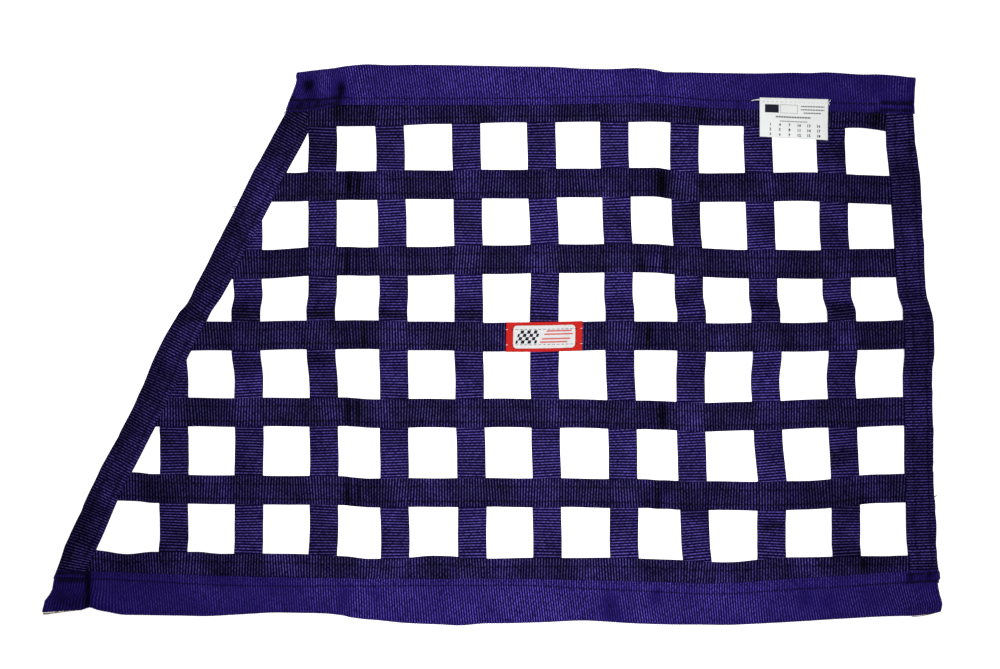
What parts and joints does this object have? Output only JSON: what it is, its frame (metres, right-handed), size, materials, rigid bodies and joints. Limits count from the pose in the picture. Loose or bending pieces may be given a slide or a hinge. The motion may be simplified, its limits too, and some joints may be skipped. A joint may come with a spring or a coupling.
{
  "type": "racing window net",
  "caption": "Trapezoid window net of sewn webbing with one slanted side, a mesh of square openings, and a folded rod sleeve along its top and bottom edges.",
  "frame": {"origin": "middle of the net's outline, on the surface that it lies on", "axes": "+X along the rod sleeves towards the upright edge, +Y from the bottom sleeve to the top sleeve, +Z out of the front face"},
  "size_m": [0.7962, 0.4946, 0.0173],
  "materials": {
    "ribbon_webbing": "ribbed woven, satin",
    "sleeve_webbing": "ribbed woven, satin",
    "label_cloth": "woven, matte",
    "patch_cloth": "woven, satin"
  },
  "bodies": {
    "root": {"upright_1": "ribbon_webbing", "upright_2": "ribbon_webbing", "upright_3": "ribbon_webbing", "upright_4": "ribbon_webbing", "upright_5": "ribbon_webbing", "upright_6": "ribbon_webbing", "upright_7": "ribbon_webbing", "upright_8": "ribbon_webbing", "upright_9": "ribbon_webbing", "upright_10": "ribbon_webbing", "crossbar_front_1": "ribbon_webbing", "crossbar_front_2": "ribbon_webbing", "crossbar_front_3": "ribbon_webbing", "crossbar_front_4": "ribbon_webbing", "crossbar_front_5": "ribbon_webbing", "crossbar_back_1": "ribbon_webbing", "crossbar_back_2": "ribbon_webbing", "crossbar_back_3": "ribbon_webbing", "crossbar_back_4": "ribbon_webbing", "crossbar_back_5": "ribbon_webbing", "border_top_front": "ribbon_webbing", "border_top_back": "ribbon_webbing", "border_bottom_front": "ribbon_webbing", "border_bottom_back": "ribbon_webbing", "edge_slant_front": "ribbon_webbing", "edge_slant_back": "ribbon_webbing", "edge_right_front": "ribbon_webbing", "edge_right_back": "ribbon_webbing", "rod_sleeve_top_back": "sleeve_webbing", "rod_sleeve_top_fold": "sleeve_webbing", "rod_sleeve_top_front": "sleeve_webbing", "rod_sleeve_bottom_back": "sleeve_webbing", "rod_sleeve_bottom_fold": "sleeve_webbing", "rod_sleeve_bottom_front": "sleeve_webbing", "certification_label": "label_cloth", "badge_patch": "patch_cloth"}
  },
  "joints": []
}
